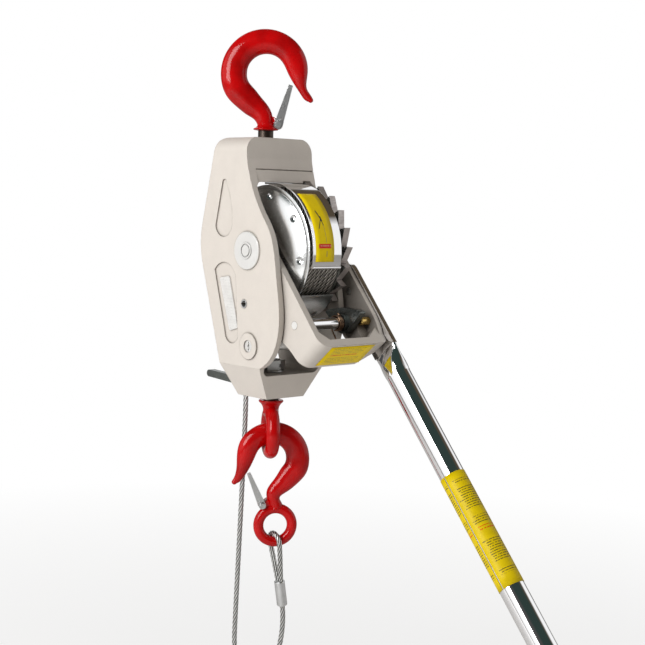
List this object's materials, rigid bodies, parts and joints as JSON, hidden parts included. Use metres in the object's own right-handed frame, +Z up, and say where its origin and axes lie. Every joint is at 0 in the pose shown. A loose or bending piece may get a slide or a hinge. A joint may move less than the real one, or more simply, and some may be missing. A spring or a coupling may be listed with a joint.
{
  "type": "hand cable ratchet winch",
  "caption": "Hand lever cable winch: ratchet drum in a cast frame, lever yoke with tubular handle, swivel hook above, latched hook on the cable's end below.",
  "frame": {"origin": "hang point, the highest point inside the bowl of the top hook", "axes": "+Z up along the top hook's swivel axis, +X along the drum axle towards the handle's side, the handle hangs towards -Y"},
  "size_m": [0.1206, 0.4775, 0.6932],
  "materials": {
    "frame_paint": "warm light grey coat on a fine casting",
    "yoke_paint": "warm light grey coat on a fine casting",
    "hook_enamel": "gloss red enamel on a forging",
    "zinc_steel": "bright zinc plate",
    "polished_steel": "polished",
    "dark_steel": "dark oiled steel",
    "wheel_steel": "cast teeth with machined sides",
    "rope_steel": "galvanised wire rope",
    "wound_rope": "greased wire rope",
    "brass_parts": "turned brass",
    "copper_spring": "coppered spring wire",
    "plate_alloy": null,
    "cap_black": "moulded"
  },
  "bodies": {
    "frame": {"frame_casting": "frame_paint", "nameplate": "plate_alloy", "drum_axle": "dark_steel", "axle_washer": "zinc_steel", "end_washer": "zinc_steel", "retaining_ring": "dark_steel", "stop_pin": "brass_parts", "drum_guard": "polished_steel", "guard_screws": "zinc_steel", "lower_guard": "zinc_steel", "holding_pawl_spring": "copper_spring", "lever_pin": "dark_steel", "cable_standing_run": "rope_steel"},
    "drum": {"drum_bush": "brass_parts", "drum_spool": "dark_steel", "drum_flange": "zinc_steel", "cable_wraps": "wound_rope", "ratchet_wheel": "wheel_steel", "drum_rivets": "zinc_steel"},
    "handle": {"yoke_casting": "yoke_paint", "yoke_bushes": "brass_parts", "handle_tube": "polished_steel", "handle_end_cap": "cap_black", "handle_bolts": "zinc_steel", "handle_washers": "zinc_steel", "handle_nuts": "zinc_steel", "operating_pawl_shaft": "polished_steel", "operating_pawl_spring": "copper_spring", "detent_plunger": "brass_parts"},
    "operating_pawl": {"operating_pawl": "dark_steel"},
    "holding_pawl": {"holding_pawl": "dark_steel", "holding_pawl_shaft": "zinc_steel", "release_arm": "dark_steel"},
    "reverse_lever": {"reverse_lever": "dark_steel"},
    "top_hook": {"top_hook": "hook_enamel", "top_hook_nut": "dark_steel", "top_thrust_washer": "dark_steel", "top_roll_pin": "zinc_steel", "top_latch_pin": "zinc_steel", "top_latch_spring": "dark_steel"},
    "top_latch": {"top_latch": "zinc_steel"},
    "anchor": {"anchor_eye": "hook_enamel", "anchor_washer": "dark_steel", "anchor_nut": "dark_steel", "anchor_roll_pin": "zinc_steel", "cable_return_run": "rope_steel"},
    "lower_hook": {"lower_hook": "hook_enamel", "lower_latch_pin": "zinc_steel", "lower_latch_spring": "dark_steel", "cable_end_loop": "rope_steel", "swage_sleeve": "zinc_steel"},
    "lower_latch": {"lower_latch": "zinc_steel"}
  },
  "joints": [
    {"name": "drum_turn", "type": "hinge", "parent": "frame", "child": "drum", "pos_m": [0, -0.028, -0.202], "axis": [1, 0, 0], "continuous": true},
    {"name": "handle_swing", "type": "hinge", "parent": "frame", "child": "handle", "pos_m": [0, -0.028, -0.202], "axis": [-1, 0, 0], "range_deg": [-3, 115]},
    {"name": "operating_pawl_tilt", "type": "hinge", "parent": "handle", "child": "operating_pawl", "pos_m": [0, -0.09434, -0.2729], "axis": [-1, 0, 0], "range_deg": [0, 12]},
    {"name": "holding_pawl_tilt", "type": "hinge", "parent": "frame", "child": "holding_pawl", "pos_m": [0, -0.03325, -0.29896], "axis": [-1, 0, 0], "range_deg": [0, 9.6]},
    {"name": "reverse_lever_tilt", "type": "hinge", "parent": "frame", "child": "reverse_lever", "pos_m": [0, -0.001, -0.342], "axis": [1, 0, 0], "range_deg": [0, 8]},
    {"name": "top_hook_swivel", "type": "hinge", "parent": "frame", "child": "top_hook", "pos_m": [0, 0, -0.102], "axis": [0, 0, 1], "continuous": true},
    {"name": "top_latch_open", "type": "hinge", "parent": "top_hook", "child": "top_latch", "pos_m": [0.00959, -0.00863, -0.0725], "axis": [-0.6691, -0.7431, 0], "range_deg": [0, 28]},
    {"name": "anchor_swivel", "type": "hinge", "parent": "frame", "child": "anchor", "pos_m": [0, -0.0185, -0.342], "axis": [0, 0, 1], "range_deg": [-25, 25]},
    {"name": "lower_hook_swing", "type": "hinge", "parent": "anchor", "child": "lower_hook", "pos_m": [0, -0.0185, -0.4144], "axis": [-0.5299, -0.848, 0], "range_deg": [-12, 12]},
    {"name": "lower_latch_open", "type": "hinge", "parent": "lower_hook", "child": "lower_latch", "pos_m": [-0.00611, -0.01469, -0.47145], "axis": [0.5299, 0.848, 0], "range_deg": [0, 20]}
  ],
  "couplings": [
    {"joint": "holding_pawl_tilt", "follows": "reverse_lever_tilt", "ratio": 1.2}
  ]
}
